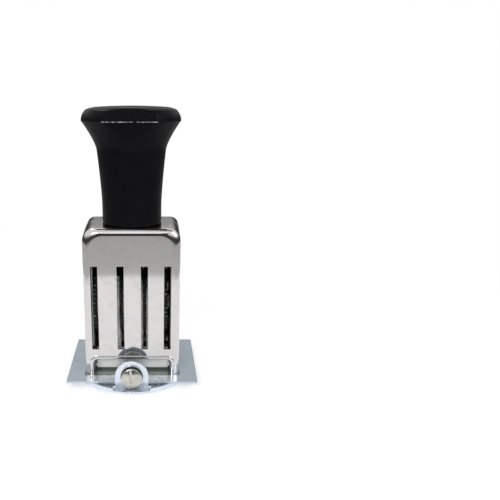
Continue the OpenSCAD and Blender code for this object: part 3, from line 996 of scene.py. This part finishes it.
def seen_directly(tree):
    """A factor of 1 for rays from the camera and for reflected and refracted rays."""
    path = tree.nodes.new("ShaderNodeLightPath")
    seen = path.outputs["Is Camera Ray"]
    for name in ("Is Glossy Ray", "Is Transmission Ray"):
        seen = maths(tree, "MAXIMUM", seen, path.outputs[name])
    return seen


def mix_shaders(tree, factor, first, second):
    mix = tree.nodes.new("ShaderNodeMixShader")
    tree.links.new(factor, mix.inputs["Fac"])
    tree.links.new(first, mix.inputs[1])
    tree.links.new(second, mix.inputs[2])
    return mix.outputs["Shader"]


def white_glow(tree, strength):
    glow = tree.nodes.new("ShaderNodeEmission")
    tree.links.new(strength, glow.inputs["Strength"])
    return glow.outputs["Emission"]


def studio_world():
    """White to look at, and softer as a light."""
    world = bpy.data.worlds.new("studio")
    tree = bare_tree(world)
    lights = []
    for strength in (ambient, 1.0):
        light = tree.nodes.new("ShaderNodeBackground")
        light.inputs["Color"].default_value = (1, 1, 1, 1)
        light.inputs["Strength"].default_value = strength
        lights.append(light.outputs["Background"])
    both = mix_shaders(tree, seen_directly(tree), *lights)
    to_surface(tree, both, "ShaderNodeOutputWorld")
    bpy.context.scene.world = world


def ring_piece(name, lower, upper):
    """A band between two circles, each given by its radius and height."""
    points = []
    for radius, z in (lower, upper):
        points += [(x, y, z) for x, y in circle((0, 0), radius, round_points)]
    faces = []
    for i in range(round_points):
        j = (i + 1) % round_points
        faces.append((i, round_points + i, round_points + j, j))
    return mesh_piece(name, points, faces)


def distance_ramp(tree, stops):
    """Grey levels by the distance from the origin."""
    place = tree.nodes.new("ShaderNodeTexCoord")
    length = tree.nodes.new("ShaderNodeVectorMath")
    length.operation = "LENGTH"
    tree.links.new(place.outputs["Object"], length.inputs[0])
    ramp = tree.nodes.new("ShaderNodeValToRGB")
    tree.links.new(length.outputs["Value"], ramp.inputs["Fac"])
    for i, (distance, level) in enumerate(stops):
        stop = ramp.color_ramp.elements[i] if i < 2 else ramp.color_ramp.elements.new(distance)
        stop.position = distance
        stop.color = (level, level, level, 1)
    return ramp.outputs["Color"]


def studio_floor():
    """A pale floor that keeps the shadow near the object and turns plain white further off.

    It is open under the round plate and clear from below, so that the underside can be looked at."""
    floor = ring_piece("floor", (floor_hole_r, 0), (floor_r, 0))
    material = bpy.data.materials.new("floor")
    tree = bare_tree(material)
    diffuse = tree.nodes.new("ShaderNodeBsdfDiffuse")
    diffuse.inputs["Color"].default_value = (*floor_colour, 1)
    seen = seen_directly(tree)
    near = tree.nodes.new("ShaderNodeAddShader")
    tree.links.new(diffuse.outputs["BSDF"], near.inputs[0])
    tree.links.new(white_glow(tree, maths(tree, "MULTIPLY", seen, floor_glow)), near.inputs[1])
    far = distance_ramp(tree, FLOOR_WHITE)
    whole = mix_shaders(tree, far, near.outputs["Shader"], white_glow(tree, seen))
    clear = tree.nodes.new("ShaderNodeBsdfTransparent")
    side = tree.nodes.new("ShaderNodeNewGeometry")
    to_surface(tree, mix_shaders(tree, side.outputs["Backfacing"], whole, clear.outputs["BSDF"]))
    floor.data.materials.append(material)


def mirrored_only(card, stops):
    """Lets a card glow in grey levels by distance, for reflections alone and not as a lamp."""
    material = bpy.data.materials.new(card.name.replace("_", " "))
    tree = bare_tree(material)
    glow = tree.nodes.new("ShaderNodeEmission")
    tree.links.new(distance_ramp(tree, stops), glow.inputs["Color"])
    to_surface(tree, glow.outputs["Emission"])
    material.cycles.emission_sampling = "NONE"
    card.data.materials.append(material)
    card.visible_camera = False
    card.visible_diffuse = False
    card.visible_shadow = False
    card.visible_transmission = False


def studio_surround():
    """What the bright metal mirrors: the dim floor further off, a low dark wall and the cards."""
    table = ring_piece("table_surround", (table_r, table_z), (surround_r, table_z))
    mirrored_only(table, TABLE_LEVELS)
    round_wall = ring_piece("wall_surround", (surround_r, 0), (surround_r, surround_h))
    mirrored_only(round_wall, WALL_LEVELS)
    for name, (level, (left, right), near, far) in CARDS.items():
        corners = [(left, *near), (right, *near), (right, *far), (left, *far)]
        mirrored_only(mesh_piece(name, corners, [(0, 1, 2, 3)]), [(0, level), (1, level)])


def soft_lamp(name, place, size, power, mirrored=True):
    """An area lamp that shines on the origin, and shows in reflections where it is mirrored."""
    lamp = bpy.data.lights.new(name, "AREA")
    lamp.shape = "RECTANGLE"
    lamp.size, lamp.size_y = size
    lamp.energy = power
    holder = add_piece(name, lamp)
    holder.location = place
    holder.rotation_euler = (-Vector(place)).to_track_quat("-Z", "Y").to_euler()
    holder.visible_glossy = mirrored


studio_world()
studio_floor()
studio_surround()
soft_lamp("key", (-0.35, -0.75, 0.6), (0.3, 0.2), 2.4)
soft_lamp("front", (0.05, -0.8, 0.28), (0.3, 0.12), 1.6, mirrored=False)
soft_lamp("fill", (0.6, -0.3, 0.5), (0.4, 0.4), 1.4)
soft_lamp("back", (-0.42, 0.5, 0.85), (0.16, 0.14), 1.4)

# Camera, placed as the photograph was taken

camera_at = (0.00757, -0.22349, 0.11827)
camera_tilt = math.radians(74.232)
focal_length = 38.755
sensor_w = 36
picture_shift = (0.2, -0.001)
nearest_seen = 10 * MM

camera = add_piece("camera", bpy.data.cameras.new("camera"))
camera.location = camera_at
camera.rotation_euler = (camera_tilt, 0, 0)
camera.data.lens = focal_length
camera.data.sensor_width = sensor_w
camera.data.shift_x, camera.data.shift_y = picture_shift
camera.data.clip_start = nearest_seen
bpy.context.scene.camera = camera
bpy.context.scene.view_settings.view_transform = "Standard"
